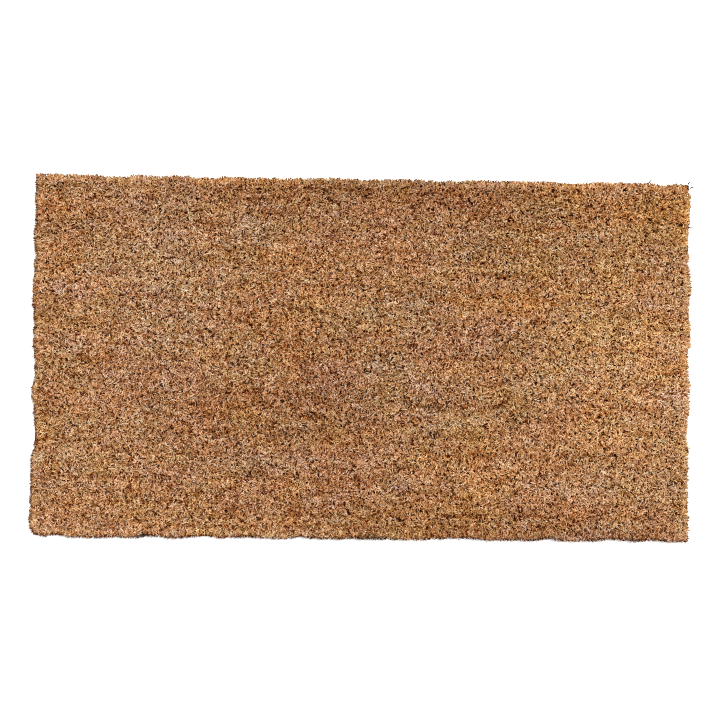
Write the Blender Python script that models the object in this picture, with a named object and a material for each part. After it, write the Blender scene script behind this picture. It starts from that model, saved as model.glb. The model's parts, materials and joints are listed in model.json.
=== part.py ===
"""Coir door mat: rows of sheared coconut-fibre pile planted in a flexible vinyl backing sheet.

Metres, +Z up. +X runs along the mat's length, which is the way the rows of pile run, and +Y goes from the
front row to the back row. The origin is under the middle of the mat, on the floor.
"""

import math

import bmesh
import bpy

# Driving dimensions.
PILE_LENGTH = 0.600  # along X, over the tips of the pile
PILE_WIDTH = 0.330  # along Y, over the tips of the pile
MAT_HEIGHT = 0.015  # from the floor to the sheared tips
BACKING_THICKNESS = 0.003
GROOVE_DEPTH = 0.0016  # how deep the rows are planted in the backing
ROW_COUNT = 30
FOOT_WIDTH = 0.004  # of a row, where its tufts are gathered in the groove
SPREAD_HEIGHT = 0.004  # above the backing, where the tufts have spread until they meet
TIP_ROUNDING = 0.0012  # the worn top edge of a row
EDGE_OVERHANG = 0.0015  # how far the outer tips lean out past the backing's cut edge
CORNER_RADIUS = 0.004  # the mat's corners, seen from above
CLEARANCE = 0.0003  # between a row and the backing, and between two rows

# How finely the curves are drawn.
ROUNDING_STEPS = 3
CORNER_STEPS = 4

# Colour (linear RGB, alpha), roughness and metallic value of each material.
COIR = ("coir", (0.362, 0.178, 0.080, 1.0), 0.9, 0.0)
VINYL = ("vinyl", (0.018, 0.017, 0.016, 1.0), 0.6, 0.0)

# What follows from the driving dimensions.
ROW_PITCH = (PILE_WIDTH + CLEARANCE) / ROW_COUNT
BACKING_LENGTH = PILE_LENGTH - 2 * EDGE_OVERHANG
BACKING_WIDTH = PILE_WIDTH - 2 * EDGE_OVERHANG
GROOVE_WIDTH = FOOT_WIDTH + 2 * CLEARANCE
GROOVE_FLOOR = BACKING_THICKNESS - GROOVE_DEPTH


def clear_scene():
    """Removes every object that the file opened with."""
    for old in list(bpy.data.objects):
        bpy.data.objects.remove(old)


def make_material(name, colour, roughness, metallic):
    """A Principled material of one colour."""
    material = bpy.data.materials.new(name)
    material.use_nodes = True
    shader = material.node_tree.nodes["Principled BSDF"]
    shader.inputs["Base Color"].default_value = colour
    shader.inputs["Roughness"].default_value = roughness
    shader.inputs["Metallic"].default_value = metallic
    material.diffuse_color = colour
    return material


def mesh_from(shape, name, material):
    """Closes a bmesh into a named mesh that wears the material, with its faces pointing out."""
    bmesh.ops.recalc_face_normals(shape, faces=shape.faces)
    mesh = bpy.data.meshes.new(name)
    shape.to_mesh(mesh)
    shape.free()
    mesh.materials.append(material)
    return mesh


def place(name, mesh, location=(0.0, 0.0, 0.0), turn=0.0):
    """Puts a mesh in the scene as a named object, turned about Z."""
    placed = bpy.data.objects.new(name, mesh)
    placed.location = location
    placed.rotation_euler = (0.0, 0.0, turn)
    bpy.context.scene.collection.objects.link(placed)
    return placed


def row_middle(index):
    """Where the middle of a row lies along Y. Row 0 is the front one."""
    return (index - (ROW_COUNT - 1) / 2) * ROW_PITCH


def comb_outline():
    """The backing's end view as (y, z) points: a flat underside, and a groove in the top for each row."""
    half = BACKING_WIDTH / 2
    outline = [(half, 0.0), (-half, 0.0), (-half, BACKING_THICKNESS)]
    for index in range(ROW_COUNT):
        left = row_middle(index) - GROOVE_WIDTH / 2
        right = row_middle(index) + GROOVE_WIDTH / 2
        outline += [(left, BACKING_THICKNESS), (left, GROOVE_FLOOR)]
        outline += [(right, GROOVE_FLOOR), (right, BACKING_THICKNESS)]
    outline.append((half, BACKING_THICKNESS))
    return outline


def backing_mesh(material):
    """The comb outline drawn out along the mat's length. The grooves run out at both cut ends."""
    shape = bmesh.new()
    start = -BACKING_LENGTH / 2
    end_face = shape.faces.new([shape.verts.new((start, y, z)) for y, z in comb_outline()])
    drawn = bmesh.ops.extrude_face_region(shape, geom=[end_face])
    moved = [item for item in drawn["geom"] if isinstance(item, bmesh.types.BMVert)]
    bmesh.ops.translate(shape, verts=moved, vec=(BACKING_LENGTH, 0.0, 0.0))
    return mesh_from(shape, "vinyl_backing", material)


def row_levels():
    """A row from its foot up, as (z, half length, half width) of the rectangle at each level."""
    foot_half = FOOT_WIDTH / 2
    full_half = (ROW_PITCH - CLEARANCE) / 2
    foot_length = BACKING_LENGTH / 2
    full_length = PILE_LENGTH / 2
    levels = [
        (GROOVE_FLOOR + CLEARANCE, foot_length, foot_half),
        (BACKING_THICKNESS + CLEARANCE, foot_length, foot_half),
        (BACKING_THICKNESS + SPREAD_HEIGHT, full_length, full_half),
    ]
    for step in range(ROUNDING_STEPS + 1):
        angle = 0.5 * math.pi * step / ROUNDING_STEPS
        rise = TIP_ROUNDING * math.sin(angle)
        inset = TIP_ROUNDING * (1 - math.cos(angle))
        z = MAT_HEIGHT - TIP_ROUNDING + rise
        levels.append((z, full_length - inset, full_half - inset))
    return levels


def outer_outline(half_length, half_width, corner):
    """One level seen from above as (x, y) points, with the two corners on the -Y side rounded."""
    outline = [(half_length, half_width), (-half_length, half_width)]
    for side, first in ((-1, math.pi), (1, 1.5 * math.pi)):
        centre = (side * (half_length - corner), corner - half_width)
        for step in range(CORNER_STEPS + 1):
            angle = first + 0.5 * math.pi * step / CORNER_STEPS
            outline.append((centre[0] + corner * math.cos(angle), centre[1] + corner * math.sin(angle)))
    return outline


def inner_outline(half_length, half_width):
    """One level of a row that has the mat's corners on neither side: a plain rectangle."""
    return [
        (half_length, half_width),
        (-half_length, half_width),
        (-half_length, -half_width),
        (half_length, -half_width),
    ]


def row_mesh(name, material, is_outer):
    """A closed strip of pile, lofted through its levels. An outer row has the mat's corners on its -Y side."""
    shape = bmesh.new()
    rings = []
    for z, half_length, half_width in row_levels():
        if is_outer:
            corner = min(CORNER_RADIUS, half_width)
            outline = outer_outline(half_length, half_width, corner)
        else:
            outline = inner_outline(half_length, half_width)
        rings.append([shape.verts.new((x, y, z)) for x, y in outline])
    for lower, upper in zip(rings, rings[1:]):
        for here in range(len(lower)):
            after = (here + 1) % len(lower)
            shape.faces.new((lower[here], lower[after], upper[after], upper[here]))
    shape.faces.new(reversed(rings[0]))
    shape.faces.new(rings[-1])
    return mesh_from(shape, name, material)


def build_backing(material):
    """The sheet that everything is planted in."""
    place("vinyl_backing", backing_mesh(material))


def build_rows(material):
    """All the rows of pile. The back row is the front row turned round, so its rounded corners face out too."""
    outer = row_mesh("outer_row", material, is_outer=True)
    inner = row_mesh("inner_row", material, is_outer=False)
    for index in range(ROW_COUNT):
        is_back = index == ROW_COUNT - 1
        mesh = outer if index == 0 or is_back else inner
        turn = math.pi if is_back else 0.0
        place(f"pile_row_{index + 1:02d}", mesh, (0.0, row_middle(index), 0.0), turn)


def main():
    """Builds the whole mat."""
    clear_scene()
    build_backing(make_material(*VINYL))
    build_rows(make_material(*COIR))


main()
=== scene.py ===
"""Looks of the coir door mat: rows of sheared coconut fibre planted in a sheet of soft black vinyl.

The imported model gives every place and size. Each row of pile becomes its own mesh of single fibres, rooted in
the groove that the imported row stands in, and the backing gets its moulded underside and its cut edges.
"""

from __future__ import annotations

import json
import logging
import math
from dataclasses import asdict, dataclass, field, fields
from enum import Enum, IntEnum
from functools import cached_property

import bmesh
import bpy
from mathutils import Matrix, Vector

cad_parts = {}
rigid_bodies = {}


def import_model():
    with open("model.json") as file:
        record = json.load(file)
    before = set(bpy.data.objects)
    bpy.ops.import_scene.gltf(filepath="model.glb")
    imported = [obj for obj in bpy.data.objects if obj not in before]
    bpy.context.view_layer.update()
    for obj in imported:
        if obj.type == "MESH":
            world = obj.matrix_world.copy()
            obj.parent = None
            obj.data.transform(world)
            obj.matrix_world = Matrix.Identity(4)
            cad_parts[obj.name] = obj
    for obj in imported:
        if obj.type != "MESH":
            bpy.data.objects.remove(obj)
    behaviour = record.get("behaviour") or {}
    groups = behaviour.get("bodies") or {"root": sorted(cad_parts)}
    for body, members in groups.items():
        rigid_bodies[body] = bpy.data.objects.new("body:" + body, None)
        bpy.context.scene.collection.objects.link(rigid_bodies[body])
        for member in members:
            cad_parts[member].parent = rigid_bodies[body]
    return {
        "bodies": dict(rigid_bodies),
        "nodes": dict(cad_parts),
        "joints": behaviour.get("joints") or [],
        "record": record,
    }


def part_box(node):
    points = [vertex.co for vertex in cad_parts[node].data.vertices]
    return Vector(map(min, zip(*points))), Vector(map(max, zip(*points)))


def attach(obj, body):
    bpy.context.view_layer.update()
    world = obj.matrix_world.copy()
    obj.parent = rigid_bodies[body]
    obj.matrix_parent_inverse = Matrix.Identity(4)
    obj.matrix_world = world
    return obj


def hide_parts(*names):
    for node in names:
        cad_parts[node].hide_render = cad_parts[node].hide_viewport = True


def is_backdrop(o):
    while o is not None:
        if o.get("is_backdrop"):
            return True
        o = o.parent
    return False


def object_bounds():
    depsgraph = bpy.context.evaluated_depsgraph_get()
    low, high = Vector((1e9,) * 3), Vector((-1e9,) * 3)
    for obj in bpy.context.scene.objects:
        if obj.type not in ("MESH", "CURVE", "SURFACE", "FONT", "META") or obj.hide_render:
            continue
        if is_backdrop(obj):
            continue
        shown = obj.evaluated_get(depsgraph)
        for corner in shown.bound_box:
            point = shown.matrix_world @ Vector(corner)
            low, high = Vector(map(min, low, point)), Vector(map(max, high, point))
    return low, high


LOG = logging.getLogger("door_mat")
BODY = "root"
BAKE_MAP = "OFBake"
MM = 0.001

Socket = bpy.types.NodeSocket
Feed = Socket | float | int | str | tuple | bpy.types.Object | bpy.types.Material
Feeds = dict[str | int, Feed]
Colour = tuple[float, float, float]


def titled(name: str) -> str:
    """The name of a geometry tree's input, from the name of the value that goes into it."""
    return name.replace("_", " ").capitalize()


def linear(red: float, green: float, blue: float) -> Colour:
    """Turns a colour as a screen shows it, from 0 to 255, into the light that it stands for."""
    share = (value / 255 for value in (red, green, blue))
    return tuple(v / 12.92 if v <= 0.04045 else ((v + 0.055) / 1.055) ** 2.4 for v in share)


def placed(name: str, data: bpy.types.ID) -> bpy.types.Object:
    """Puts a mesh, a lamp or a camera in the scene.

    Args:
        name: The new object's name.
        data: What it shows.

    Returns:
        The object, at the origin.
    """
    made = bpy.data.objects.new(name, data)
    bpy.context.scene.collection.objects.link(made)
    return made


class Wiring:
    """Adds nodes to one node tree and joins them up."""

    def __init__(self, tree: bpy.types.NodeTree) -> None:
        """Starts on a geometry or shader tree."""
        self.tree = tree

    def node(self, kind: str, feeds: Feeds | None = None, **options: object) -> bpy.types.Node:
        """Adds a node.

        Args:
            kind: The node's type name in Blender.
            feeds: What goes into its inputs, by their names or numbers.
            options: Its settings, such as an operation.

        Returns:
            The new node.
        """
        made = self.tree.nodes.new(kind)
        for name, value in options.items():
            setattr(made, name, value)
        for key, value in (feeds or {}).items():
            self.feed(made.inputs[key], value)
        return made

    def result(self, kind: str, feeds: Feeds, output: str | int = 0, **options: object) -> Socket:
        """Adds a node in the same way, and gives one of its outputs by its name or number."""
        return self.node(kind, feeds, **options).outputs[output]

    def feed(self, socket: Socket, value: Feed) -> None:
        """Links another socket into this one, or sets this one's own value.

        Args:
            socket: The input.
            value: What goes into it.
        """
        if isinstance(value, Socket):
            self.tree.links.new(value, socket)
        else:
            socket.default_value = value

    def math(self, operation: str, *values: Feed, clamp: bool = False) -> Socket:
        """One sum on numbers, by Blender's name for it. A clamped one is held between 0 and 1."""
        return self.result("ShaderNodeMath", dict(enumerate(values)), operation=operation, use_clamp=clamp)

    def plus(self, first: Feed, second: Feed) -> Socket:
        """Two numbers added."""
        return self.math("ADD", first, second)

    def minus(self, first: Feed, second: Feed) -> Socket:
        """The first number less the second."""
        return self.math("SUBTRACT", first, second)

    def times(self, first: Feed, second: Feed) -> Socket:
        """Two numbers multiplied."""
        return self.math("MULTIPLY", first, second)

    def vector(self, operation: str, *values: Feed) -> Socket:
        """One sum on vectors.

        Args:
            operation: Blender's name for the sum.
            values: The vectors or sockets that it takes. SCALE takes a vector and a number.

        Returns:
            The result's socket.
        """
        slots = (0, "Scale") if operation == "SCALE" else range(len(values))
        output = "Value" if operation in ("LENGTH", "DOT_PRODUCT") else "Vector"
        return self.result("ShaderNodeVectorMath", dict(zip(slots, values)), output, operation=operation)

    def joined(self, x: Feed, y: Feed, z: Feed) -> Socket:
        """A vector of three numbers."""
        return self.result("ShaderNodeCombineXYZ", {0: x, 1: y, 2: z})

    def split(self, vector: Feed) -> list[Socket]:
        """A vector's three numbers."""
        return list(self.node("ShaderNodeSeparateXYZ", {0: vector}).outputs)

    def ramped(self, value: Feed, low: Feed, high: Feed, start: float = 0.0, end: float = 1.0) -> Socket:
        """Turns a value that runs from low to high into one that runs smoothly from start to end."""
        feeds = dict(enumerate((value, low, high, start, end)))
        return self.result("ShaderNodeMapRange", feeds, interpolation_type="SMOOTHSTEP")

    def noise(self, place: Feed, grain: float, detail: float = 1.0) -> Socket:
        """Smooth noise with values round a half: where it is read, lumps to a metre, and finer layers."""
        feeds = {"Vector": place, "Scale": grain, "Detail": detail}
        return self.result("ShaderNodeTexNoise", feeds, noise_dimensions="3D")

    def mixed(self, share: Feed, first: Feed, second: Feed) -> Socket:
        """A colour between two others. The node's inputs of the same names are told apart by number."""
        return self.result("ShaderNodeMix", {0: share, 6: first, 7: second}, 2, data_type="RGBA")


def new_material(name: str) -> tuple[bpy.types.Material, Wiring, bpy.types.Node]:
    """Starts a material.

    Args:
        name: Its name.

    Returns:
        The material, the wiring of its nodes, and its main shader.
    """
    made = bpy.data.materials.new(name)
    made.use_nodes = True
    return made, Wiring(made.node_tree), made.node_tree.nodes["Principled BSDF"]


class FibreKind(Enum):
    """The fibre shapes that a row is planted with."""

    END = "end fibre"
    YARN = "yarn fibre"
    EDGE = "edge fibre"
    STRAY = "stray fibre"


class Draw(IntEnum):
    """What each random draw is for. Its number is added to the row's seed."""

    END_PLACE = 1
    END_SWING = 2
    END_SPLAY = 3
    END_LEVEL = 4
    END_WIDTH = 5
    END_TURN = 6
    END_LEAN = 7
    END_LENGTH = 8
    SHADE = 11
    PINK = 12
    FLECK = 13
    FLECK_SHADE = 14
    STRAY_PLACE = 21
    STRAY_LEVEL = 22
    STRAY_SWING = 23
    STRAY_REACH = 24
    STRAY_LENGTH = 25
    STRAY_WIDTH = 26
    STRAY_TURN = 27
    YARN_PLACE = 31
    YARN_DROP = 32
    YARN_COLUMN = 33  # and the three numbers after it
    WALL_PLACE = 41
    WALL_WIDTH = 42
    WALL_COLUMN = 43  # and the three numbers after it


class FibreChart:
    """How a fibre's map says its colour: across by shade, and up by pinkness, then warmth, then height, which
    carries the painted shade at the root.
    """

    WARMTHS = 7
    PINKS = 3
    BANDS = PINKS * WARMTHS
    MARGIN = 0.06  # left free at both ends of a band
    STRIP = 0.012  # how much of the chart's width one fibre goes round
    BROWNEST = 0.06  # the darkest brown, below which the chart turns black


@dataclass(frozen=True)
class Layer:
    """One layer of mottling.

    Args:
        grain: How many lumps it has to a metre across the rows.
        amount: How much it changes a value, from its least lump to its greatest.
        along: How many it has along the rows, as a share of that.
    """

    grain: float
    amount: float
    along: float = 1.0


@dataclass(frozen=True)
class Zone:
    """A broad soft-edged stretch where the pile is paler or darker, warmer or cooler than elsewhere."""

    middle: tuple[float, float]
    reach: tuple[float, float]
    paler: float = 0.0
    warmer: float = 0.0


ZONES = (
    Zone(middle=(0.250, 0.000), reach=(0.080, 0.110), paler=0.12, warmer=0.22),  # paler, warmer right side: painted light on the side the key light comes from
    Zone(middle=(0.140, 0.064), reach=(0.050, 0.030), paler=0.00, warmer=0.15),
    Zone(middle=(0.285, 0.135), reach=(0.045, 0.030), paler=-0.02, warmer=0.30),  # rusty back corner
    Zone(middle=(0.120, -0.110), reach=(0.045, 0.030), paler=0.03, warmer=0.18),
    Zone(middle=(0.030, 0.150), reach=(0.200, 0.025), paler=-0.09, warmer=-0.06),  # cool back strip
    Zone(middle=(-0.175, 0.140), reach=(0.030, 0.030), paler=-0.02, warmer=-0.15),
    Zone(middle=(-0.040, -0.040), reach=(0.070, 0.055), paler=-0.08, warmer=-0.12),  # trodden middle
    Zone(middle=(0.000, -0.150), reach=(0.140, 0.030), paler=-0.06, warmer=-0.06),
    Zone(middle=(-0.250, -0.110), reach=(0.050, 0.070), paler=0.02, warmer=0.00),  # bleached front left
    Zone(middle=(-0.190, 0.080), reach=(0.080, 0.050), paler=0.05, warmer=-0.02),
    Zone(middle=(0.190, -0.162), reach=(0.120, 0.008), paler=-0.12, warmer=-0.25),  # cool front edge
)


@dataclass(frozen=True)
class Spot:
    """A small near-black spot at the mat's edge."""

    middle: tuple[float, float]
    reach: tuple[float, float]
    depth: float = 1.3


BLACK_EDGE_SPOTS = (
    Spot(middle=(0.262, 0.166), reach=(0.0025, 0.0020)),
    Spot(middle=(0.298, 0.162), reach=(0.0025, 0.0020)),
    Spot(middle=(0.300, 0.123), reach=(0.0015, 0.0020)),
    Spot(middle=(-0.198, -0.164), reach=(0.0045, 0.0020)),
    Spot(middle=(0.007, -0.163), reach=(0.0060, 0.0015), depth=1.0),
)


@dataclass(frozen=True)
class PileSizes:
    """The sizes that all the rows share. Each is also an input of the tree that plants a row."""

    foot_width: float = 3.6 * MM
    foot_level: float = 2.0 * MM
    spread_level: float = 6.5 * MM
    root_margin: float = 2.5 * MM
    corner_radius: float = 3.0 * MM
    worn_corner_radius: float = 12.0 * MM
    ends_per_area: float = 1.11e6
    yarns_per_area: float = 0.30e6
    edge_fibres_per_area: float = 1.4e6
    strays_per_area: float = 1.2e4
    fibre_width: float = 0.8 * MM
    yarn_width: float = 1.7 * MM
    end_width: float = 0.8 * MM
    edge_depth: float = 6.0 * MM
    edge_wander: float = 1.0 * MM
    edge_splay: float = 1.5 * MM
    end_length: float = 4.6 * MM
    end_lean: float = 5.2 * MM
    unevenness: float = 1.3 * MM
    pit_depth: float = 5.0 * MM
    parting_depth: float = 1.2 * MM
    rim_wear: float = 0.9 * MM
    slip: float = 0.8 * MM


class PlantingTree:
    """The geometry nodes that plant one row of pile.

    What depends on a place alone is built once, and each kind of fibre reads it.
    """

    PLACED_SIZES = ("mat_length", "mat_width", "row_middle", "row_pitch", "tip_level")
    SIZES = PLACED_SIZES + tuple(size.name for size in fields(PileSizes))
    WORKING_VALUES = ("shade", "warmth", "pink", "along", "around", "foot", "lean", "height", "splay", "long")
    # the way the key light comes from: the rim facing it is painted lighter, the rims turned from it darker
    SUNWARD = (0.55, 0.85, 0.0)
    OUTLINE_LAYERS = (Layer(160.0, 2.6), Layer(38.0, 9.0))
    SHADE_LAYERS = (Layer(250.0, 0.64, 0.5), Layer(110.0, 0.26, 0.3), Layer(36.0, 0.20, 0.1))
    WARMTH_LAYERS = (Layer(16.0, 0.62, 0.5), Layer(48.0, 0.72, 0.5), Layer(140.0, 0.62, 0.5))
    PINK_LAYERS = (Layer(14.0, 1.2, 0.6), Layer(40.0, 1.4, 0.6), Layer(120.0, 1.3, 0.6))
    WARMTH_ASIDE = 3.0  # the warmth's and the pinkness's patterns are read this far aside from the shade's
    PINK_ASIDE = 7.0
    # how much darker fibres are painted where the rows part: painted shade in the gap
    PARTED_SHADE = -0.22
    # how much paler the rim facing the key light is painted, and how much darker the rims turned from it:
    # painted light and painted shade
    SUNNED_SHADE = 0.42
    RIM_SHADE = -0.14
    # how much warmer that painted light makes the rim, and how much cooler the painted shade
    SUNNED_WARMTH = 0.35
    FLECKED = 0.012  # the share of fibres that stand out from those beside them
    FLECK_SHADE = 0.9
    OUTLINE_PULL = 400.0  # how sharply a corner turns from facing one side to facing the next
    OUTLINE_REACH = 0.02  # how far outside a side that still grows
    PARTED = (0.30, 0.50)  # from the middle of a row, in row pitches, where it starts to part and has parted
    PARTED_STRETCHES = (0.42, 0.68)  # the noise at which a stretch starts to part, and at which it has
    PITTED = (0.62, 0.75)  # the same for a pit
    RIM_NARROWNESS = 5.0  # the greater, the nearer the outline the rim's own shade and warmth, with its painted light and shade, keep
    WORN_NARROWNESS = 3.0  # the same for its wear
    SPLAY_RARITY = 4.0  # the greater, the fewer fibres stray far
    SWEEP_CURVE = 0.6  # an end's bend from its tip down: below 1, it sweeps most near the tip
    LIFT_CURVE = 1.9  # above 1, its middle is lifted, and it curls over

    def __init__(self) -> None:
        """Builds the tree."""
        self.tree = bpy.data.node_groups.new("plant_coir_row", "GeometryNodeTree")
        self.wiring = Wiring(self.tree)
        self.declare()
        self.source = self.wiring.node("NodeGroupInput")
        self.build()

    def declare(self) -> None:
        """Names the tree's inputs and its output."""
        kinds = {"geometry": "Geometry"} | dict.fromkeys(self.SIZES, "Float") | {"seed": "Int"}
        kinds |= {kind.value: "Object" for kind in FibreKind} | {"finish": "Material"}
        for name, kind in kinds.items():
            self.tree.interface.new_socket(titled(name), in_out="INPUT", socket_type=f"NodeSocket{kind}")
        self.tree.interface.new_socket("Geometry", in_out="OUTPUT", socket_type="NodeSocketGeometry")

    def size(self, name: str) -> Socket:
        """One of the tree's inputs."""
        return self.source.outputs[titled(name)]

    def random(self, low: Feed, high: Feed, offset: int, vector: bool = False) -> Socket:
        """A random value for each fibre.

        Args:
            low: Its least value.
            high: Its greatest value.
            offset: Added to the row's seed, so that each value is drawn apart from the others.
            vector: Whether it is a vector.

        Returns:
            The value's socket.
        """
        first = 0 if vector else 2
        feeds = {first: low, first + 1: high, "Seed": self.wiring.plus(self.size("seed"), offset)}
        kind = "FLOAT_VECTOR" if vector else "FLOAT"
        return self.wiring.result("FunctionNodeRandomValue", feeds, 0 if vector else 1, data_type=kind)

    @cached_property
    def place(self) -> Socket:
        """Where a point is."""
        return self.wiring.node("GeometryNodeInputPosition").outputs[0]

    def drawn_out(self, along: float, aside: float = 0.0) -> Socket:
        """Where a point is in a pattern that is drawn out along the rows, and read this far aside."""
        w = self.wiring
        return w.vector("ADD", w.vector("MULTIPLY", self.place, (along, 1.0, 1.0)), (aside, 0.0, 0.0))

    def mottled(self, value: Feed, layers: tuple[Layer, ...], aside: float = 0.0) -> Socket:
        """Adds layers of mottling to a value.

        Args:
            value: What they are added to.
            layers: The layers.
            aside: How far aside they are read, which sets them apart from others of the same grain.

        Returns:
            The value's socket.
        """
        w = self.wiring
        for layer in layers:
            lumps = w.minus(w.noise(self.drawn_out(layer.along, aside), layer.grain), 0.5)
            value = w.math("MULTIPLY_ADD", lumps, layer.amount, value)
        return value

    @cached_property
    def outline(self) -> tuple[Socket, Socket]:
        """How far a place is from the mat's outline, less than nothing inside it, and which way is out."""
        w = self.wiring
        x, y, _ = w.split(self.place)
        worn = w.times(w.math("LESS_THAN", x, 0.0), w.math("LESS_THAN", y, 0.0))
        more = w.minus(self.size("worn_corner_radius"), self.size("corner_radius"))
        radius = w.math("MULTIPLY_ADD", worn, more, self.size("corner_radius"))
        over = []
        for along, side in ((x, "mat_length"), (y, "mat_width")):
            half = w.minus(w.times(self.size(side), 0.5), radius)
            over.append(w.minus(w.math("ABSOLUTE", along), half))
        past = w.joined(*(w.math("MAXIMUM", value, 0.0) for value in over), 0.0)
        within = w.math("MINIMUM", w.math("MAXIMUM", *over), 0.0)
        distance = w.minus(w.plus(w.vector("LENGTH", past), within), radius)
        pulls = []
        for along, value in zip((x, y), over):
            limited = w.math("MINIMUM", value, self.OUTLINE_REACH)
            strength = w.math("EXPONENT", w.times(limited, self.OUTLINE_PULL))
            pulls.append(w.times(w.math("SIGN", along), strength))
        return distance, w.vector("NORMALIZE", w.joined(*pulls, 0.0))

    @cached_property
    def wandered(self) -> Socket:
        """How far a place is from the outline as it wanders, less than nothing inside it."""
        wander = self.mottled(0.0, self.OUTLINE_LAYERS)
        return self.wiring.math("MULTIPLY_ADD", wander, self.size("edge_wander"), self.outline[0])

    @cached_property
    def near_edge(self) -> Socket:
        """How near the outline a place is, from 0 inside the mat to 1 on it."""
        return self.wiring.ramped(self.wandered, self.wiring.times(self.size("edge_depth"), -1.0), 0.0)

    @cached_property
    def parting(self) -> Socket:
        """How far the pile parts towards the next row, from 0 to 1. It shows on some stretches only."""
        w = self.wiring
        _, y, _ = w.split(self.place)
        across = w.math("ABSOLUTE", w.minus(y, self.size("row_middle")))
        share = w.math("DIVIDE", across, self.size("row_pitch"))
        stretch = w.noise(self.drawn_out(0.35), 60.0)
        return w.times(w.ramped(share, *self.PARTED), w.ramped(stretch, *self.PARTED_STRETCHES))

    def within(self, spot: Zone | Spot) -> Socket:
        """How far a place is inside a soft-edged oval.

        Args:
            spot: The oval.

        Returns:
            A socket that runs from 0 outside to 1 at its middle.
        """
        w = self.wiring
        inverse = (1 / spot.reach[0], 1 / spot.reach[1], 0.0)
        offset = w.vector("SUBTRACT", self.place, (*spot.middle, 0.0))
        away = w.vector("LENGTH", w.vector("MULTIPLY", offset, inverse))
        return w.math("EXPONENT", w.times(w.times(away, away), -1.0))

    @cached_property
    def weathered(self) -> tuple[Socket, Socket]:
        """How much paler and how much warmer the broad zones make the pile at a place."""
        w = self.wiring
        paler, warmer = 0.0, 0.0
        for zone in ZONES:
            weight = self.within(zone)
            paler = w.math("MULTIPLY_ADD", weight, zone.paler, paler)
            if zone.warmer:
                warmer = w.math("MULTIPLY_ADD", weight, zone.warmer, warmer)
        return paler, warmer

    @cached_property
    def opened(self) -> Socket:
        """How far a place is in one of the near-black spots at the edge."""
        total = 0.0
        for spot in BLACK_EDGE_SPOTS:
            total = self.wiring.math("MULTIPLY_ADD", self.within(spot), spot.depth, total)
        return total

    @cached_property
    def rimmed(self) -> tuple[Socket, Socket]:
        """How near the outline a place is, and that again times how far the outline faces the key light:
        painted light on the rim that faces it, and painted shade, less than nothing, on the rims turned from
        it.
        """
        w = self.wiring
        rim = w.math("POWER", self.near_edge, self.RIM_NARROWNESS)
        return rim, w.times(rim, w.vector("DOT_PRODUCT", self.outline[1], self.SUNWARD))

    @cached_property
    def shade(self) -> Socket:
        """How pale a fibre is, from 0 to 1."""
        w = self.wiring
        rim, painted_rim_light = self.rimmed
        shade = w.plus(self.random(0.15, 0.85, Draw.SHADE), self.weathered[0])
        shade = self.mottled(shade, self.SHADE_LAYERS)
        # painted shade where the rows part
        shade = w.math("MULTIPLY_ADD", self.parting, self.PARTED_SHADE, shade)
        # painted light on the rim facing the key light, painted shade on the rims turned from it
        shade = w.math("MULTIPLY_ADD", painted_rim_light, self.SUNNED_SHADE, shade)
        shade = w.math("MULTIPLY_ADD", rim, self.RIM_SHADE, shade)
        fleck = w.math("LESS_THAN", self.random(0.0, 1.0, Draw.FLECK), self.FLECKED)
        change = self.random(-self.FLECK_SHADE, self.FLECK_SHADE, Draw.FLECK_SHADE)
        shade = w.math("MULTIPLY_ADD", fleck, change, shade)
        return w.math("MAXIMUM", w.math("MINIMUM", shade, 1.0), FibreChart.BROWNEST)

    @cached_property
    def tip_shade(self) -> Socket:
        """How pale a fibre is that shows on the top, where the edge has near-black spots."""
        return self.wiring.math("SUBTRACT", self.shade, self.opened, clamp=True)

    @cached_property
    def warmth(self) -> Socket:
        """How far a fibre is from cool to warm, from 0 to 1."""
        w = self.wiring
        # the rim's painted light warms it, its painted shade cools it
        warmth = w.math("MULTIPLY_ADD", self.rimmed[1], self.SUNNED_WARMTH, w.plus(self.weathered[1], 0.5))
        return w.math("ADD", self.mottled(warmth, self.WARMTH_LAYERS, self.WARMTH_ASIDE), 0.0, clamp=True)

    @cached_property
    def pink(self) -> Socket:
        """Which of the chart's pinknesses a fibre has, counted from the greenest."""
        w = self.wiring
        pink = self.mottled(self.random(0.3, 0.7, Draw.PINK), self.PINK_LAYERS, self.PINK_ASIDE)
        pink = w.math("FLOOR", w.times(pink, FibreChart.PINKS))
        return w.math("MAXIMUM", w.math("MINIMUM", pink, FibreChart.PINKS - 1), 0.0)

    @cached_property
    def foot(self) -> Socket:
        """How far the foot of a fibre stands from under its end: over the backing, in the row's groove."""
        w = self.wiring
        x, y, _ = w.split(self.place)
        limit = w.minus(w.times(self.size("mat_length"), 0.5), self.size("root_margin"))
        held_x = w.math("MAXIMUM", w.math("MINIMUM", x, limit), w.times(limit, -1.0))
        across = w.minus(y, self.size("row_middle"))
        gather = w.minus(w.math("DIVIDE", self.size("foot_width"), self.size("row_pitch")), 1.0)
        return w.joined(w.minus(held_x, x), w.times(across, gather), 0.0)

    @cached_property
    def trim(self) -> Socket:
        """How high the pile is sheared at a place, with its ripples, pits, partings and worn rim."""
        w = self.wiring
        pitted = w.ramped(w.noise(self.drawn_out(0.8), 250.0), *self.PITTED)
        ripple = w.times(self.size("unevenness"), 1.2)
        loss = w.times(pitted, self.size("pit_depth"))
        loss = w.math("MULTIPLY_ADD", w.noise(self.place, 420.0), ripple, loss)
        loss = w.math("MULTIPLY_ADD", self.parting, self.size("parting_depth"), loss)
        worn = w.math("POWER", self.near_edge, self.WORN_NARROWNESS)
        loss = w.math("MULTIPLY_ADD", worn, self.size("rim_wear"), loss)
        return w.minus(self.size("tip_level"), loss)

    def level(self, offset: int) -> Socket:
        """How high a fibre ends, which no shears get quite even."""
        w = self.wiring
        return w.minus(self.trim, w.times(self.random(0.0, 1.0, offset), self.size("unevenness")))

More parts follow.
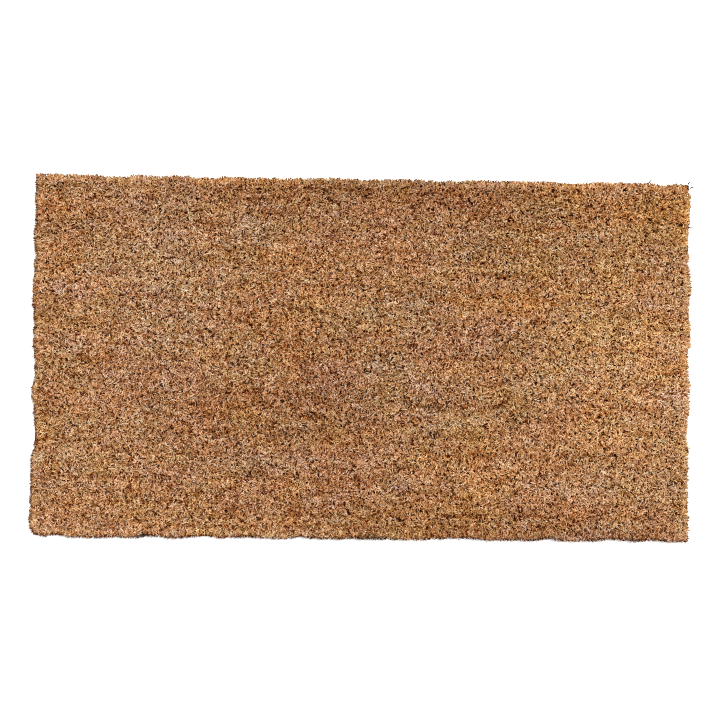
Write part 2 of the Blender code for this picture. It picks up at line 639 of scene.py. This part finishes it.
    def splayed(self, offset: int) -> Socket:
        """How far a fibre strays out over the mat's edge. Few stray far.

        Args:
            offset: Added to the row's seed.

        Returns:
            The socket of a level vector.
        """
        w = self.wiring
        amount = w.times(w.math("POWER", self.random(0.0, 1.0, offset), self.SPLAY_RARITY), self.near_edge)
        return w.vector("SCALE", self.outline[1], w.times(amount, self.size("edge_splay")))

    def swung(self, angle: Socket, reach: Feed) -> Socket:
        """A level vector that points at an angle from the rows."""
        w = self.wiring
        return w.vector("SCALE", w.joined(w.math("COSINE", angle), w.math("SINE", angle), 0.0), reach)

    def scattered(self, density: Feed, offset: int) -> Socket:
        """Points spread over the row's top inside the mat's wandering outline, where fibres end.

        Args:
            density: How many there are to a square metre.
            offset: Added to the row's seed.

        Returns:
            The points.
        """
        w = self.wiring
        spare = 4 * MM
        size = {"Size X": w.plus(self.size("mat_length"), spare), "Size Y": self.size("row_pitch")}
        strip = w.result("GeometryNodeMeshGrid", size | {"Vertices X": 2, "Vertices Y": 2}, "Mesh")
        strip = self.moved(strip, w.joined(0.0, self.size("row_middle"), 0.0))
        feeds = {"Mesh": strip, "Density": density, "Seed": w.plus(self.size("seed"), offset)}
        points = w.result("GeometryNodeDistributePointsOnFaces", feeds, "Points", distribute_method="RANDOM")
        return self.without(points, w.math("GREATER_THAN", self.wandered, 0.0))

    def without(self, points: Socket, selection: Feed) -> Socket:
        """The points that the selection doesn't name."""
        feeds = {"Geometry": points, "Selection": selection}
        return self.wiring.result("GeometryNodeDeleteGeometry", feeds, domain="POINT")

    def moved(self, mesh: Socket, offset: Feed) -> Socket:
        """The mesh or the points, with each point moved."""
        return self.wiring.result("GeometryNodeSetPosition", {"Geometry": mesh, "Offset": offset})

    def named(self, points: Socket, name: str, value: Feed, kind: str = "FLOAT") -> Socket:
        """The points, with one more value kept on each under a name."""
        feeds = {"Geometry": points, "Name": name, "Value": value}
        return self.wiring.result("GeometryNodeStoreNamedAttribute", feeds, data_type=kind, domain="POINT")

    def read(self, name: str, kind: str = "FLOAT") -> Socket:
        """A value kept under a name."""
        return self.wiring.result("GeometryNodeInputNamedAttribute", {"Name": name}, data_type=kind)

    def coloured(self, points: Socket, shade: Socket) -> Socket:
        """Keeps on each point the shade, the warmth and the pinkness of its fibre."""
        points = self.named(self.named(points, "shade", shade), "warmth", self.warmth)
        return self.named(points, "pink", self.pink)

    def stood(
        self, points: Socket, kind: FibreKind, height: Feed, width: Feed, length: Feed, offset: int
    ) -> Socket:
        """Hangs a fibre's mesh, one metre long and one wide, down from above each point.

        Args:
            points: Where the fibres end, on the floor.
            kind: Which shape.
            height: How high each ends.
            width: How wide each is.
            length: How long each is.
            offset: Added to the row's seed.

        Returns:
            The fibres as one mesh.
        """
        w = self.wiring
        shape = w.result("GeometryNodeObjectInfo", {"Object": self.size(kind.value)}, "Geometry")
        turn = w.joined(0.0, 0.0, self.random(0.0, 2 * math.pi, offset))
        feeds = {
            "Points": self.moved(points, w.joined(0.0, 0.0, height)),
            "Instance": shape,
            "Rotation": w.result("FunctionNodeEulerToRotation", {0: turn}),
            "Scale": w.joined(width, width, length),
        }
        hung = w.result("GeometryNodeInstanceOnPoints", feeds, "Instances")
        return w.result("GeometryNodeRealizeInstances", {"Geometry": hung})

    def columns(self, points: Socket, kind: FibreKind, width: Feed, drop: Feed, seed: int) -> Socket:
        """Fibres that rise from the groove all the way to the top, bending out where the row spreads.

        Args:
            points: Where they end, on the floor.
            kind: Which shape.
            width: How wide each is.
            drop: How far below the sheared level each ends.
            seed: Added to the row's seed.

        Returns:
            The fibres as one mesh.
        """
        w = self.wiring
        points = self.named(self.coloured(points, self.shade), "foot", self.foot, "FLOAT_VECTOR")
        slip = self.random((-1.0, -1.0, 0.0), (1.0, 1.0, 0.0), seed + 1, vector=True)
        lean = w.vector("ADD", self.splayed(seed), w.vector("SCALE", slip, self.size("slip")))
        points = self.named(points, "lean", lean, "FLOAT_VECTOR")
        points = self.named(points, "height", w.minus(self.level(seed + 2), drop))
        length = w.minus(self.read("height"), self.size("foot_level"))
        strands = self.stood(points, kind, self.read("height"), width, length, seed + 3)
        _, _, z = w.split(self.place)
        low = w.ramped(z, self.size("foot_level"), self.size("spread_level"), 1.0, 0.0)
        high = w.ramped(z, self.size("spread_level"), self.size("tip_level"))
        bend = w.vector("SCALE", self.read("foot", "FLOAT_VECTOR"), low)
        leant = w.vector("SCALE", self.read("lean", "FLOAT_VECTOR"), high)
        return self.moved(strands, w.vector("ADD", bend, leant))

    def yarns(self) -> Socket:
        """The bundles that fill the pile below its frayed ends."""
        points = self.scattered(self.size("yarns_per_area"), Draw.YARN_PLACE)
        drop = self.random(1.3 * MM, 2.8 * MM, Draw.YARN_DROP)
        return self.columns(points, FibreKind.YARN, self.size("yarn_width"), drop, Draw.YARN_COLUMN)

    def wall(self) -> Socket:
        """The whole fibres that show on the mat's cut sides."""
        w = self.wiring
        points = self.scattered(self.size("edge_fibres_per_area"), Draw.WALL_PLACE)
        points = self.without(points, w.math("LESS_THAN", self.near_edge, 0.001))
        width = w.times(self.size("fibre_width"), self.random(0.5, 1.1, Draw.WALL_WIDTH))
        return self.columns(points, FibreKind.EDGE, width, 0.0, Draw.WALL_COLUMN)

    def ends(self) -> Socket:
        """The frayed ends that make the surface, each leaning its own way."""
        w = self.wiring
        points = self.coloured(self.scattered(self.size("ends_per_area"), Draw.END_PLACE), self.tip_shade)
        curl = w.times(w.noise(self.drawn_out(0.7), 320.0, 0.0), 8 * math.pi)
        amount = w.times(self.random(0.3, 1.0, Draw.END_LEAN), self.size("end_lean"))
        lean = self.swung(w.plus(curl, self.random(-0.9, 0.9, Draw.END_SWING)), amount)
        outwards = w.vector("SCALE", self.outline[1], w.times(self.near_edge, self.size("end_lean")))
        points = self.named(points, "lean", w.vector("ADD", lean, outwards), "FLOAT_VECTOR")
        points = self.named(points, "splay", self.splayed(Draw.END_SPLAY), "FLOAT_VECTOR")
        length = w.times(self.size("end_length"), self.random(0.8, 1.2, Draw.END_LENGTH))
        points = self.named(points, "long", length)
        width = w.times(self.size("end_width"), self.random(0.7, 1.3, Draw.END_WIDTH))
        level = self.level(Draw.END_LEVEL)
        bent = self.stood(points, FibreKind.END, level, width, self.read("long"), Draw.END_TURN)
        back = w.minus(1.0, self.read("along"))
        sweep = w.times(w.math("POWER", back, self.SWEEP_CURVE), -1.0)
        leant = w.vector("SCALE", self.read("lean", "FLOAT_VECTOR"), sweep)
        leant = w.vector("ADD", leant, self.read("splay", "FLOAT_VECTOR"))
        lift = w.times(w.minus(back, w.math("POWER", back, self.LIFT_CURVE)), self.read("long"))
        return self.moved(bent, w.vector("ADD", leant, w.joined(0.0, 0.0, lift)))

    def strays(self) -> Socket:
        """Longer curled fibres that the shears missed, lying over the tips."""
        w = self.wiring
        points = self.coloured(self.scattered(self.size("strays_per_area"), Draw.STRAY_PLACE), self.tip_shade)
        reach = self.random(1.5 * MM, 4.5 * MM, Draw.STRAY_REACH)
        lean = self.swung(self.random(0.0, 2 * math.pi, Draw.STRAY_SWING), reach)
        points = self.named(points, "lean", lean, "FLOAT_VECTOR")
        width = w.times(self.size("fibre_width"), self.random(0.5, 0.8, Draw.STRAY_WIDTH))
        height = w.minus(self.size("tip_level"), self.random(-0.6 * MM, 0.8 * MM, Draw.STRAY_LEVEL))
        length = self.random(2.0 * MM, 3.5 * MM, Draw.STRAY_LENGTH)
        strands = self.stood(points, FibreKind.STRAY, height, width, length, Draw.STRAY_TURN)
        return self.moved(strands, w.vector("SCALE", self.read("lean", "FLOAT_VECTOR"), self.read("along")))

    def charted(self, mesh: Socket) -> Socket:
        """Gives the fibres the map that says their colour.

        Args:
            mesh: The fibres, with the values kept on them.

        Returns:
            The fibres with their map.
        """
        w = self.wiring
        strip = w.times(self.read("around"), FibreChart.STRIP)
        across = w.math("MULTIPLY_ADD", self.read("shade"), 1.0 - FibreChart.STRIP, strip)
        step = w.math("FLOOR", w.times(self.read("warmth"), FibreChart.WARMTHS))
        step = w.math("MINIMUM", step, FibreChart.WARMTHS - 1)
        band = w.math("MULTIPLY_ADD", self.read("pink"), FibreChart.WARMTHS, step)
        inside = w.math("MULTIPLY_ADD", self.read("along"), 1.0 - 2 * FibreChart.MARGIN, FibreChart.MARGIN)
        up = w.math("DIVIDE", w.plus(band, inside), FibreChart.BANDS)
        feeds = {"Geometry": mesh, "Name": BAKE_MAP, "Value": w.joined(across, up, 0.0)}
        return w.result("GeometryNodeStoreNamedAttribute", feeds, data_type="FLOAT2", domain="CORNER")

    def build(self) -> None:
        """Joins all the fibres, and gives them their map and finish."""
        w = self.wiring
        planted = w.node("GeometryNodeJoinGeometry")
        for fibres in (self.strays(), self.wall(), self.yarns(), self.ends()):
            w.feed(planted.inputs[0], fibres)
        real = w.result("GeometryNodeRealizeInstances", {"Geometry": self.charted(planted.outputs[0])})
        dressed = w.result("GeometryNodeSetMaterial", {"Geometry": real, "Material": self.size("finish")})
        w.node("NodeGroupOutput", {0: dressed})


@dataclass(frozen=True)
class CoirFinish:
    """Dry sheared coconut fibre, from dark husk brown to pale straw.

    Args:
        name: The material's name.
        black: The colour of a fibre in one of the near-black spots at the edge.
        darkest: The colour of the brownest fibre.
        middle: The colour of a fibre halfway along the chart.
        palest: The colour of the palest fibre.
        root: What a fibre's colour is multiplied by at its root: painted shade, darker and redder, of the deep
            pile.
        root_reach: How far along a fibre the painted root shade starts to fade, and where it has gone.
        warming: How strongly the warmest fibres' red, green and blue change.
        pinking: How strongly the pinkest fibres' red, green and blue change.
        roughness: How dull it is.
        sheen: How strongly it shines.
    """

    name: str = "coir_fibre"
    black: Colour = (34, 27, 24)
    darkest: Colour = (86, 32, 0)
    middle: Colour = (166, 125, 77)
    palest: Colour = (223, 205, 174)
    root: Colour = (0.60, 0.09, 0.000)
    root_reach: tuple[float, float] = (0.20, 0.85)
    warming: Colour = (0.09, -0.02, -0.36)
    pinking: Colour = (0.034, -0.027, 0.005)
    roughness: float = 0.75
    sheen: float = 0.03

    def shift(self, w: Wiring, amount: Feed, strengths: Colour) -> Socket:
        """A colour to multiply by, from how far to go and how strongly each channel follows."""
        return w.joined(*(w.math("EXPONENT", w.times(amount, strength)) for strength in strengths))

    def shaded(self, w: Wiring, across: Socket) -> Socket:
        """The colour by shade alone.

        Args:
            w: The material's wiring.
            across: The place across the fibre chart.

        Returns:
            The colour's socket.
        """
        ramp = w.node("ShaderNodeValToRGB", {0: across})
        stops = ramp.color_ramp.elements
        stops[0].color = (*linear(*self.black), 1.0)
        stops[1].color = (*linear(*self.palest), 1.0)
        stops.new(0.5 * FibreChart.BROWNEST).color = (*linear(*self.black), 1.0)
        stops.new(FibreChart.BROWNEST * (1 - FibreChart.STRIP)).color = (*linear(*self.darkest), 1.0)
        stops.new(0.5).color = (*linear(*self.middle), 1.0)
        return ramp.outputs[0]

    def material(self) -> bpy.types.Material:
        """Builds the finish, which reads only the fibre's own map.

        Returns:
            The material.
        """
        made, w, shader = new_material(self.name)
        across, up, _ = w.split(w.node("ShaderNodeUVMap", uv_map=BAKE_MAP).outputs[0])
        band = w.times(up, FibreChart.BANDS)
        pink = w.math("FLOOR", w.times(up, FibreChart.PINKS))
        step = w.math("MULTIPLY_ADD", pink, -FibreChart.WARMTHS, w.math("FLOOR", band))
        warmth = w.math("MULTIPLY_ADD", step, 2 / (FibreChart.WARMTHS - 1), -1.0)
        pinkness = w.math("MULTIPLY_ADD", pink, 2 / (FibreChart.PINKS - 1), -1.0)
        colour = w.vector("MULTIPLY", self.shaded(w, across), self.shift(w, warmth, self.warming))
        colour = w.vector("MULTIPLY", colour, self.shift(w, pinkness, self.pinking))
        # painted shade: towards its root, deep in the pile, a fibre is painted darker and redder
        depth = w.ramped(w.math("FRACT", band), *self.root_reach)
        depth = w.mixed(depth, (*self.root, 1.0), (1.0, 1.0, 1.0, 1.0))
        w.feed(shader.inputs["Base Color"], w.vector("MULTIPLY", colour, depth))
        shader.inputs["Roughness"].default_value = self.roughness
        shader.inputs["Specular IOR Level"].default_value = self.sheen
        return made


@dataclass(frozen=True)
class VinylFinish:
    """Soft black vinyl with a faint moulded grain."""

    name: str = "black_vinyl"
    colour: Colour = (0.018, 0.017, 0.016)
    dust: Colour = (0.050, 0.044, 0.038)
    litter: Colour = (0.115, 0.042, 0.006)  # coir dust between the rows
    dust_grain: float = 38.0
    gloss_grain: float = 160.0
    grain: float = 900.0
    grain_depth: float = 0.15 * MM
    grain_strength: float = 0.35
    sheen: float = 0.25

    def material(self) -> bpy.types.Material:
        """Builds the finish on object coordinates.

        Returns:
            The material.
        """
        made, w, shader = new_material(self.name)
        place = w.node("ShaderNodeTexCoord").outputs["Object"]
        dusty = w.ramped(w.noise(place, self.dust_grain, 4.0), 0.42, 0.72)
        colour = w.mixed(dusty, (*self.colour, 1.0), (*self.dust, 1.0))
        between = w.node("ShaderNodeAttribute", attribute_type="GEOMETRY", attribute_name="litter")
        colour = w.mixed(between.outputs["Fac"], colour, (*self.litter, 1.0))
        w.feed(shader.inputs["Base Color"], colour)
        shader.inputs["Specular IOR Level"].default_value = self.sheen
        rough = w.ramped(w.noise(place, self.gloss_grain, 3.0), 0.3, 0.7, 0.5, 0.75)
        w.feed(shader.inputs["Roughness"], rough)
        height = w.noise(place, self.grain, 3.0)
        feeds = {"Strength": self.grain_strength, "Distance": self.grain_depth, "Height": height}
        w.feed(shader.inputs["Normal"], w.result("ShaderNodeBump", feeds))
        return made


@dataclass
class Fibre:
    """One fibre shape: a three-sided pointed strand, a metre long and wide, hanging from the origin.

    Args:
        kind: Which of the pile's fibres it is.
        rings: How far along it each of its rings of three points is, where it may bend.
        browning: How near its foot its painted root shade ends. The less, the nearer.
        ripeness: How far along the chart from foot to tip its own tip gets. Below 1, its tip keeps some of the
            painted root shade.
    """

    kind: FibreKind
    rings: tuple[float, ...]
    browning: float = 1.0
    ripeness: float = 1.0

    SIDES = 3

    def build(self) -> bpy.types.Object:
        """Makes the shape, with how far along and around it each point is.

        Returns:
            An object that isn't in the scene.
        """
        corners, marks, faces = [(0, 0, -1)], [(0, 0.5)], []
        for along in self.rings:
            for side in range(self.SIDES):
                angle = 2 * math.pi * side / self.SIDES
                corners.append((0.5 * math.cos(angle), 0.5 * math.sin(angle), along - 1))
                marks.append((self.ripeness * along**self.browning, side / (self.SIDES - 1)))
        corners.append((0, 0, 0))
        marks.append((self.ripeness, 0.5))
        tip = len(corners) - 1
        top = tip - self.SIDES
        for side in range(self.SIDES):
            after = (side + 1) % self.SIDES
            faces.append((0, 1 + after, 1 + side))
            for low in range(1, top, self.SIDES):
                high = low + self.SIDES
                faces.append((low + side, low + after, high + after, high + side))
            faces.append((top + side, top + after, tip))
        mesh = bpy.data.meshes.new(self.kind.value)
        mesh.from_pydata(corners, [], faces)
        for index, label in enumerate(("along", "around")):
            layer = mesh.attributes.new(label, "FLOAT", "POINT")
            layer.data.foreach_set("value", [mark[index] for mark in marks])
        return bpy.data.objects.new(mesh.name, mesh)


FIBRES = (
    Fibre(FibreKind.END, rings=(0.55,)),
    # its tips sit deep in the pile and keep some of the painted root shade
    Fibre(FibreKind.YARN, rings=(0.5,), ripeness=0.58),
    Fibre(FibreKind.EDGE, rings=(0.33, 0.67), browning=0.45),
    Fibre(FibreKind.STRAY, rings=(0.25, 0.5, 0.75)),
)


@dataclass(frozen=True)
class LooseFibre:
    """One fibre that stands out by itself on the pile.

    Args:
        middle: Where it lies.
        length: How long it is.
        heading: Which way it points, in degrees from the mat's length.
        shade: Its place on the fibre chart, from 0, dark, to 1, pale.
        warmth: How far it is along the chart's warmths, from 0 to 1.
        pink: Which of the chart's pinknesses it has.
        width: How thick it is.
        bow: How far its middle is bent aside.
        droop: How far its ends sink below its middle.
        taper: How much of its thickness its ends have lost.
    """

    middle: tuple[float, float]
    length: float
    heading: float
    shade: float
    warmth: float = 0.5
    pink: int = 1
    width: float = 0.9 * MM
    bow: float = 0.6 * MM
    droop: float = 0.5 * MM
    taper: float = 0.85

    SEGMENTS = 5
    SIDES = 4
    CHART_HEIGHT = 0.9  # how far up its band of the chart it has its colour

    def add_to(self, row: bpy.types.Object, top: float) -> None:
        """Adds the fibre to a row's mesh as a closed bent taper.

        Args:
            row: The row that it lies on.
            top: How high its middle is.
        """
        shape = bmesh.new()
        shape.from_mesh(row.data)
        chart = shape.loops.layers.uv[BAKE_MAP]
        turn = Matrix.Rotation(math.radians(self.heading), 3, "Z")
        rings = []
        for step in range(self.SEGMENTS + 1):
            share = 2 * step / self.SEGMENTS - 1
            spine = Vector((share * self.length / 2, self.bow * (1 - share**2), -self.droop * share**2))
            radius = 0.5 * self.width * (1 - self.taper * share**4)
            ring = []
            for side in range(self.SIDES):
                angle = 2 * math.pi * side / self.SIDES
                around = Vector((0.0, radius * math.cos(angle), radius * math.sin(angle)))
                ring.append(shape.verts.new(turn @ (spine + around) + Vector((*self.middle, top))))
            rings.append(ring)
        faces = [shape.faces.new(reversed(rings[0])), shape.faces.new(rings[-1])]
        for near, far in zip(rings, rings[1:]):
            for side in range(self.SIDES):
                after = (side + 1) % self.SIDES
                faces.append(shape.faces.new((near[side], near[after], far[after], far[side])))
        step = min(int(self.warmth * FibreChart.WARMTHS), FibreChart.WARMTHS - 1)
        up = (self.pink * FibreChart.WARMTHS + step + self.CHART_HEIGHT) / FibreChart.BANDS
        for face in faces:
            for loop in face.loops:
                loop[chart].uv = (self.shade * (1 - FibreChart.STRIP), up)
        shape.to_mesh(row.data)
        shape.free()


LOOSE_FIBRES = (
    LooseFibre(middle=(0.3005, 0.1602), length=4.5 * MM, heading=22, shade=0.0, width=1.1 * MM),
    LooseFibre(middle=(0.2980, 0.1645), length=4.0 * MM, heading=55, shade=0.0, width=1.1 * MM),
    LooseFibre(middle=(0.2620, 0.1655), length=3.5 * MM, heading=60, shade=0.0, width=1.1 * MM),
    LooseFibre(middle=(0.3005, 0.1230), length=3.0 * MM, heading=20, shade=0.0, width=1.0 * MM),
    LooseFibre(middle=(-0.287, -0.1215), length=9.0 * MM, heading=6, shade=0.42, warmth=0.4, width=0.7 * MM),
    LooseFibre(middle=(-0.012, 0.003), length=4.0 * MM, heading=70, shade=0.45, warmth=0.1, width=1.1 * MM),
    LooseFibre(middle=(0.031, -0.001), length=3.0 * MM, heading=20, shade=0.45, pink=2, width=1.8 * MM),
    LooseFibre(middle=(-0.124, -0.048), length=6.0 * MM, heading=120, shade=0.40, width=0.8 * MM),
    LooseFibre(middle=(0.172, 0.090), length=7.0 * MM, heading=155, shade=0.42, warmth=0.6, width=0.8 * MM),
    LooseFibre(middle=(0.088, -0.096), length=5.0 * MM, heading=85, shade=0.02, warmth=0.3, width=1.0 * MM),
    LooseFibre(middle=(-0.210, 0.074), length=5.5 * MM, heading=30, shade=0.42, warmth=0.3, width=0.8 * MM),
)


@dataclass
class Pile:
    """The thirty rows of coir."""

    frame: dict
    sizes: PileSizes = field(default_factory=PileSizes)
    loose_depth: float = 1.1 * MM  # how far below the tips a loose fibre's middle lies
    first_seed: int = 400
    seed_step: int = 100

    def __post_init__(self) -> None:
        """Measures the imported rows."""
        self.nodes = sorted(name for name in self.frame["nodes"] if name.startswith("pile_row_"))
        self.boxes = [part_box(name) for name in self.nodes]
        self.pitch = (self.boxes[-1][1].y - self.boxes[0][1].y) / (len(self.nodes) - 1)

    def row_at(self, place: float) -> int:
        """Which row is nearest to a place along Y."""
        index = round((place - self.boxes[0][1].y + self.pitch / 2) / self.pitch)
        return min(max(index, 0), len(self.nodes) - 1)

    def build(self, finish: bpy.types.Material) -> list[bpy.types.Object]:
        """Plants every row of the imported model.

        Args:
            finish: The fibres' material.

        Returns:
            One mesh object for each row.
        """
        tree = PlantingTree().tree
        shapes = {fibre.kind.value: fibre.build() for fibre in FIBRES}
        shared = asdict(self.sizes) | shapes | {
            "mat_length": max(high.x - low.x for low, high in self.boxes),
            "mat_width": self.boxes[-1][1].y - self.boxes[0][0].y,
            "row_pitch": self.pitch,
            "finish": finish,
        }
        rows = []
        for index, (name, (low, high)) in enumerate(zip(self.nodes, self.boxes)):
            own = {
                "row_middle": (low.y + high.y) / 2,
                "tip_level": high.z,
                "seed": self.first_seed + self.seed_step * index,
            }
            row = grown(name.replace("pile_row", "coir_row"), tree, shared | own)
            for fibre in LOOSE_FIBRES:
                if self.row_at(fibre.middle[1]) == index:
                    fibre.add_to(row, high.z - self.loose_depth)
            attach(row, BODY)
            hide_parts(name)
            LOG.info("%s has %d faces", row.name, len(row.data.polygons))
            rows.append(row)
        for shape in shapes.values():
            bpy.data.objects.remove(shape)
        return rows


def grown(name: str, tree: bpy.types.NodeTree, values: dict[str, object]) -> bpy.types.Object:
    """Runs the planting tree once, and keeps what it makes as a plain mesh.

    Args:
        name: The new object's name.
        tree: The tree.
        values: What goes into each of its inputs, by the value's own name.

    Returns:
        The object, at the origin, with no modifier.
    """
    carrier = placed(name + "_carrier", bpy.data.meshes.new(name + "_carrier"))
    modifier = carrier.modifiers.new("grow", "NODES")
    modifier.node_group = tree
    inputs = {titled(key): value for key, value in values.items()}
    for item in tree.interface.items_tree:
        if item.in_out == "INPUT" and item.name in inputs:
            modifier[item.identifier] = inputs[item.name]
    graph = bpy.context.evaluated_depsgraph_get()
    mesh = bpy.data.meshes.new_from_object(
        carrier.evaluated_get(graph), preserve_all_data_layers=True, depsgraph=graph
    )
    mesh.name = name
    mesh.polygons.foreach_set("material_index", [0] * len(mesh.polygons))
    mesh.materials.clear()
    mesh.materials.append(values["finish"])
    for label in PlantingTree.WORKING_VALUES:
        layer = mesh.attributes.get(label)
        if layer is not None:
            mesh.attributes.remove(layer)
    carrier.modifiers.clear()
    bpy.data.objects.remove(carrier)
    return placed(name, mesh)


@dataclass
class Backing:
    """The vinyl sheet under the pile: a groove for each row, trimmed edges and a softly uneven underside."""

    node: str = "vinyl_backing"
    stations: int = 100
    groove_depth: float = 1.6 * MM
    groove_width: float = 4.6 * MM
    groove_draft: float = 0.15 * MM
    edge_bevel: float = 0.35 * MM
    trim_wobble: float = 0.5 * MM
    underside_wave: float = 0.12 * MM
    end_fade: int = 30  # how quickly the knife's wobble fades inside the short sides
    side_fade: int = 60  # and inside the long ones

    def columns(self, half_width: float, pitch: float, count: int) -> list[tuple[float, float]]:
        """The sheet's end view, from front to back.

        Args:
            half_width: Half the sheet's width.
            pitch: From one row of pile to the next.
            count: How many rows there are.

        Returns:
            Where each column of points lies along Y, and how far its top is below the sheet's top.
        """
        lip, deep = self.groove_width / 2, self.groove_depth
        floor = lip - self.groove_draft
        groove = ((-lip, 0.0), (-floor, deep), (0.0, deep), (floor, deep), (lip, 0.0))
        made = [(-half_width, self.edge_bevel), (-half_width + self.edge_bevel, 0.0)]
        for index in range(count):
            middle = (index - (count - 1) / 2) * pitch
            made += [(middle + across, drop) for across, drop in groove]
            if index < count - 1:
                made.append((middle + pitch / 2, 0.0))
        return made + [(half_width - self.edge_bevel, 0.0), (half_width, self.edge_bevel)]

    def wobble(self, place: float, side: int) -> float:
        """How far in the trimming knife strayed at a place along one side."""
        wave = 0.6 * math.sin(71 * place + 2.1 * side) + 0.4 * math.sin(193 * place + 4.7 * side)
        return self.trim_wobble * (0.5 + 0.5 * wave)

    def lift(self, x: float, y: float) -> float:
        """How far the underside is off the floor at a place."""
        wave = 0.5 + 0.25 * (math.sin(83 * x + 31 * y) + math.sin(47 * x - 97 * y + 1.3))
        return wave * self.underside_wave

    def corners(self, columns: list[tuple[float, float]]) -> list[tuple[float, float, float]]:
        """The sheet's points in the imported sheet's box: those of its top, and as many of its underside.

        Args:
            columns: Its end view.

        Returns:
            The points, one station along X after another.
        """
        low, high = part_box(self.node)
        made = []
        for station in range(self.stations + 1):
            along = 2 * station / self.stations - 1
            end_drop = self.edge_bevel if station in (0, self.stations) else 0.0
            for across, drop in columns:
                share = across / high.y
                inset = self.wobble(across, 1 if along > 0 else 2)
                x = along * (high.x - abs(along) ** self.end_fade * inset)
                inset = self.wobble(along * high.x, 3 if share > 0 else 4)
                y = across - math.copysign(abs(share) ** self.side_fade * inset, across)
                made.append((x, y, high.z - max(drop, end_drop)))
        return made + [(x, y, low.z + self.lift(x, y)) for x, y, _ in made]

    def faces(self, across: int, top: int) -> list[tuple[int, ...]]:
        """Joins the top and the underside into one closed skin.

        Args:
            across: How many columns of points there are.
            top: How many points the top has, and the underside after it.

        Returns:
            The faces, turned outwards.
        """
        made = []
        for station in range(self.stations):
            for column in range(across - 1):
                here = station * across + column
                made.append((here, here + across, here + across + 1, here + 1))
                made.append((top + here, top + here + 1, top + here + across + 1, top + here + across))
            front, back = station * across, station * across + across - 1
            made.append((front, top + front, top + front + across, front + across))
            made.append((back, back + across, top + back + across, top + back))
        for column in range(across - 1):
            left, right = column, self.stations * across + column
            made.append((left, left + 1, top + left + 1, top + left))
            made.append((right, top + right, top + right + 1, right + 1))
        return made

    def build(self, pitch: float, rows: int, finish: bpy.types.Material) -> bpy.types.Object:
        """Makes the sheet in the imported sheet's box.

        Args:
            pitch: From one row of pile to the next.
            rows: How many rows there are.
            finish: The vinyl.

        Returns:
            The sheet.
        """
        _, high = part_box(self.node)
        columns = self.columns(high.y, pitch, rows)
        corners = self.corners(columns)
        across, top = len(columns), len(corners) // 2
        mesh = bpy.data.meshes.new("vinyl_sheet")
        mesh.from_pydata(corners, [], self.faces(across, top))
        mesh.materials.append(finish)
        trimmed = (0, across - 1)
        litter = [float(point < top and point % across not in trimmed) for point in range(2 * top)]
        mesh.attributes.new("litter", "FLOAT", "POINT").data.foreach_set("value", litter)
        sheet = placed(mesh.name, mesh)
        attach(sheet, BODY)
        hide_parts(self.node)
        LOG.info("%s has %d faces", sheet.name, len(mesh.polygons))
        return sheet


@dataclass
class Studio:
    """The floor, the lights and the camera."""

    floor_size: float = 6.0
    floor_colour: Colour = (0.9, 0.9, 0.9)
    floor_roughness: float = 0.9
    sky_colour: Colour = (1.0, 0.955, 0.90)
    sky_strength: float = 1.1
    key_colour: Colour = (1.0, 0.99, 0.97)
    key_strength: float = 4.4
    key_spread: float = math.radians(12)
    key_way: Colour = (0.19, 0.22, 1.0)
    camera_height: float = 1.5
    sensor_width: float = 36.0
    picture_width: float = 0.6550
    lean_x: float = -0.0590
    lean_y: float = -0.0472
    aim: tuple[float, float] = (-0.0038, -0.0017)
    roll: float = math.radians(0.6)
    near_limit: float = 0.05
    far_limit: float = 20.0
    blur: float = 1.2

    def build(self, target: Vector) -> None:
        """Sets the stage.

        Args:
            target: What the camera looks at.
        """
        self.floor()
        self.light()
        self.camera(target)

    def floor(self) -> None:
        """A plain white floor."""
        shape = bmesh.new()
        bmesh.ops.create_grid(shape, x_segments=1, y_segments=1, size=self.floor_size / 2)
        mesh = bpy.data.meshes.new("floor")
        shape.to_mesh(mesh)
        shape.free()
        paint, _, shader = new_material("floor_paint")
        shader.inputs["Base Color"].default_value = (*self.floor_colour, 1.0)
        shader.inputs["Roughness"].default_value = self.floor_roughness
        mesh.materials.append(paint)
        floor = placed("floor", mesh)
        floor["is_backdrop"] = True

    def light(self) -> None:
        """A soft key from the back right, and an even sky."""
        world = bpy.data.worlds.new("studio")
        world.use_nodes = True
        sky = world.node_tree.nodes["Background"]
        sky.inputs["Color"].default_value = (*self.sky_colour, 1.0)
        sky.inputs["Strength"].default_value = self.sky_strength
        bpy.context.scene.world = world
        key = bpy.data.lights.new("key", "SUN")
        key.energy = self.key_strength
        key.angle = self.key_spread
        key.color = self.key_colour
        placed("key", key).rotation_euler = Vector(self.key_way).to_track_quat("Z", "Y").to_euler()

    def camera(self, target: Vector) -> None:
        """A camera almost straight above.

        Args:
            target: What it looks at.
        """
        data = bpy.data.cameras.new("camera")
        target = target + Vector((*self.aim, 0.0))
        eye = target + Vector((self.lean_x, self.lean_y, self.camera_height))
        back = (eye - target).normalized()
        up = Matrix.Rotation(self.roll, 3, "Z") @ Vector((0.0, 1.0, 0.0))
        right = up.cross(back).normalized()
        up = back.cross(right)
        turn = Matrix((right, up, back)).transposed().to_quaternion()
        data.sensor_width = self.sensor_width
        data.lens = data.sensor_width * (eye - target).length / self.picture_width
        data.clip_start = self.near_limit
        data.clip_end = self.far_limit
        scene = bpy.context.scene
        scene.camera = placed("camera", data)
        scene.camera.matrix_world = Matrix.LocRotScale(eye, turn, None)
        scene.view_settings.view_transform = "Standard"
        scene.cycles.use_denoising = False
        scene.cycles.filter_width = self.blur


def main() -> None:
    """Builds the mat and its studio."""
    logging.basicConfig(level=logging.INFO, format="%(name)s: %(message)s")
    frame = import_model()
    cad_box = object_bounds()
    pile = Pile(frame)
    Backing().build(pile.pitch, len(pile.nodes), VinylFinish().material())
    pile.build(CoirFinish().material())
    Studio().build(Vector((0.0, 0.0, cad_box[1][2])))


if __name__ == "__main__":
    main()
